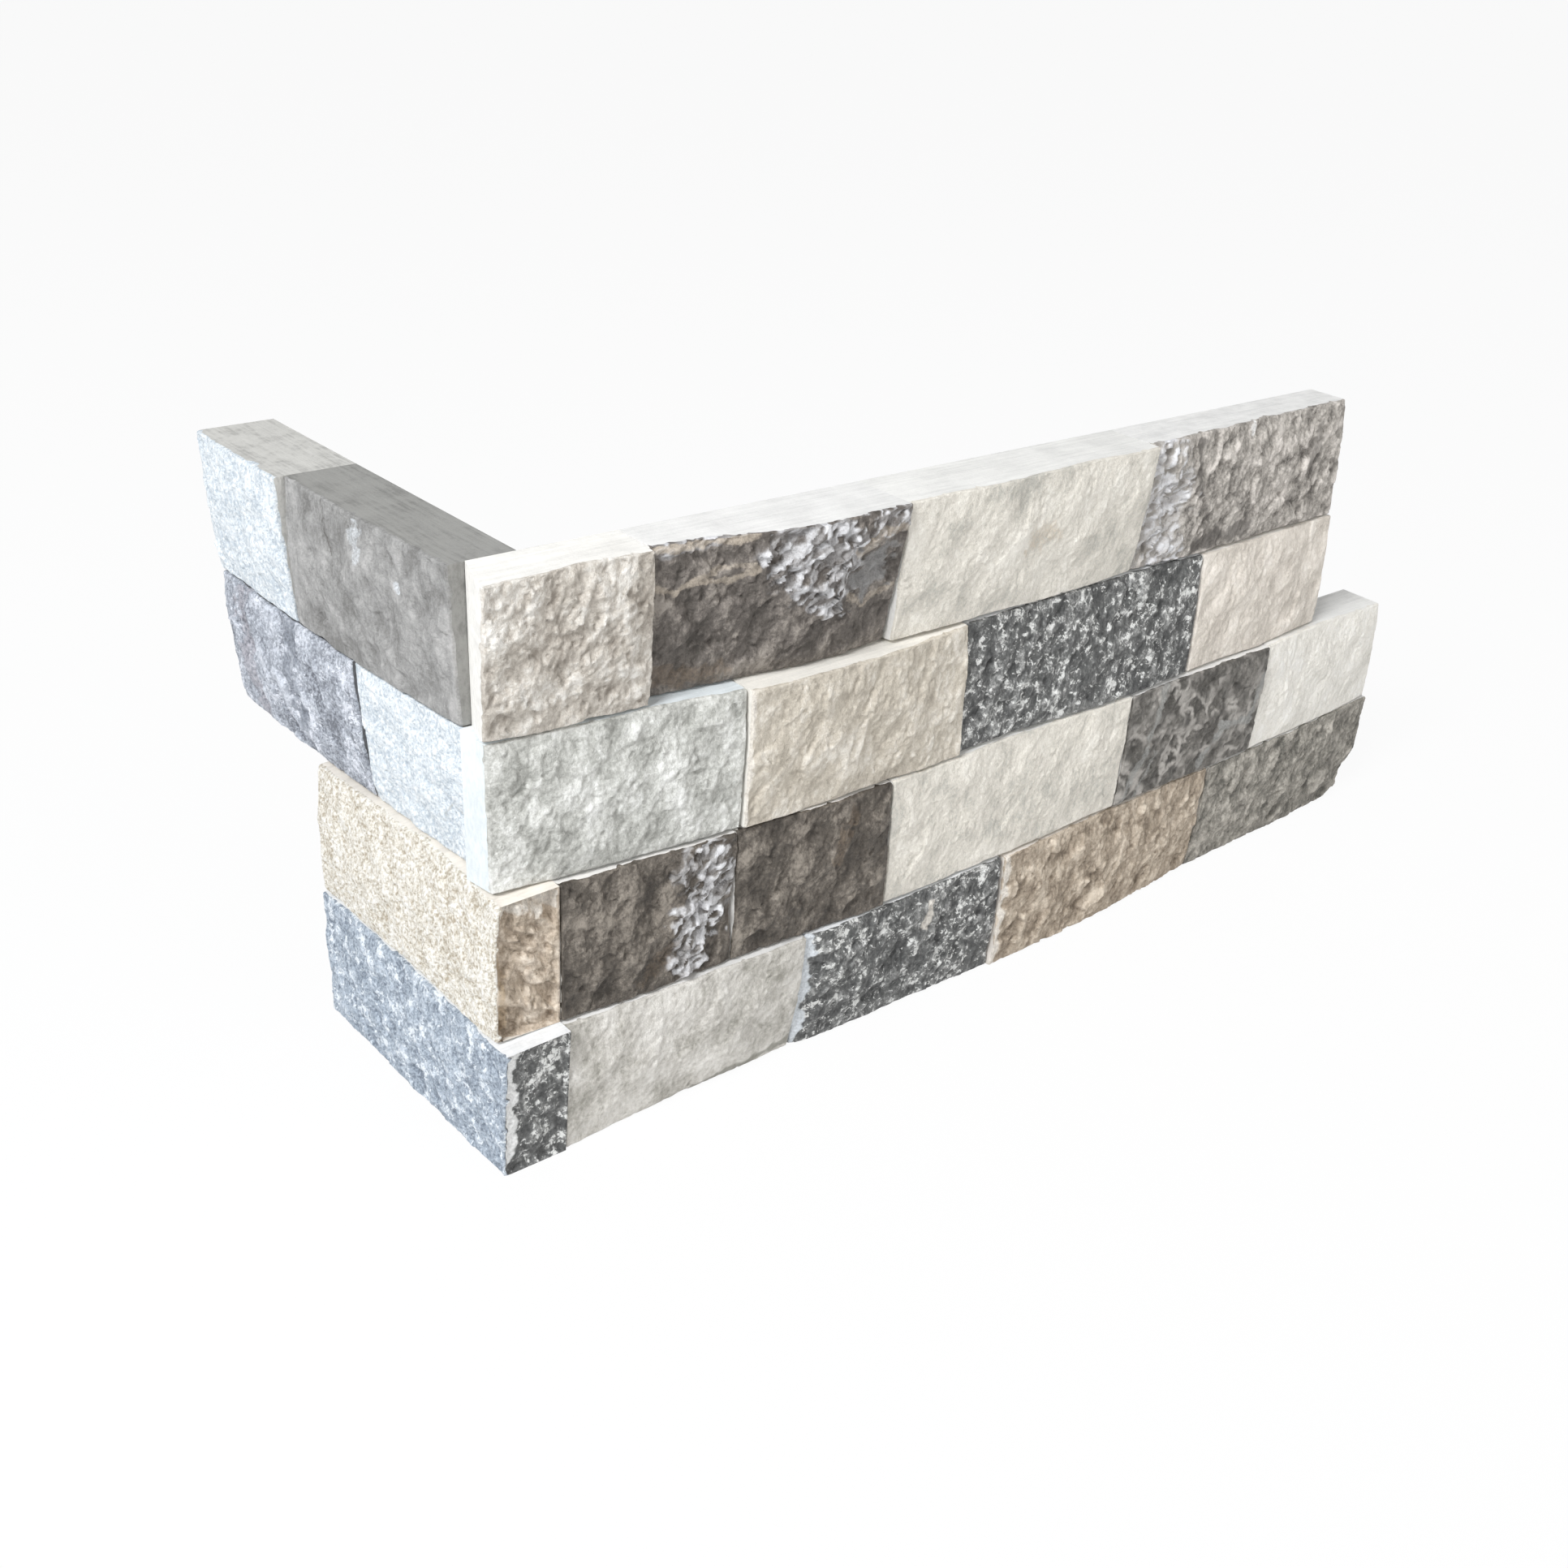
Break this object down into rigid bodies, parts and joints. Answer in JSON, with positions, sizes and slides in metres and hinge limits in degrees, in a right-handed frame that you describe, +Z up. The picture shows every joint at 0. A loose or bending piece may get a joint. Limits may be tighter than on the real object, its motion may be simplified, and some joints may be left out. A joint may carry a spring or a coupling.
{
  "type": "ledger stone corner panel",
  "caption": "L-shaped corner panel of split-face ledger stone: staggered strips of mixed stone in level courses, sawn flat behind, for facing an outside wall corner.",
  "frame": {"origin": "bottom centre of the panel's overall box", "axes": "+X along the long wing away from the corner, +Y along the return wing away from the corner, +Z up; the long wing's split face looks towards -Y and the return wing's towards -X"},
  "size_m": [0.366, 0.1442, 0.1524],
  "materials": {
    "cream_travertine": "split face, sawn beds and back, matt",
    "beige_travertine": "split face, sawn beds and back, matt",
    "brown_stone": "split face, sawn beds and back, matt",
    "broken_brown_stone": "split face, sawn beds and back, matt",
    "white_marble": "split face, sawn beds and back, matt",
    "mottled_grey_stone": "split face, sawn beds and back, matt",
    "clouded_marble": "split face, sawn beds and back, matt",
    "dark_granite": "split face, sawn beds and back, matt",
    "tan_travertine": "split face, sawn beds and back, matt",
    "veined_brown_marble": "split face, sawn beds and back, matt",
    "green_grey_stone": "split face, sawn beds and back, matt",
    "grey_limestone": "split face, sawn beds and back, matt",
    "slate_grey_stone": "split face, sawn beds and back, matt",
    "pale_return_stone": "split face, sawn beds and back, matt"
  },
  "bodies": {
    "root": {"top_front_cream": "cream_travertine", "upper_front_cream": "cream_travertine", "upper_front_beige": "beige_travertine", "lower_front_brown_1": "brown_stone", "lower_front_brown_2": "brown_stone", "top_front_brown": "broken_brown_stone", "top_front_white": "white_marble", "lower_front_white": "white_marble", "lower_front_end_white": "white_marble", "top_front_grey": "mottled_grey_stone", "upper_front_marble": "clouded_marble", "bottom_front_marble": "clouded_marble", "upper_front_granite": "dark_granite", "bottom_front_granite": "dark_granite", "bottom_corner_granite": "dark_granite", "lower_corner_tan": "tan_travertine", "bottom_front_tan": "tan_travertine", "lower_front_veined": "veined_brown_marble", "bottom_front_greengrey": "green_grey_stone", "top_return_grey": "grey_limestone", "upper_return_slate": "slate_grey_stone", "top_return_white": "pale_return_stone", "upper_return_white": "pale_return_stone"}
  },
  "joints": []
}
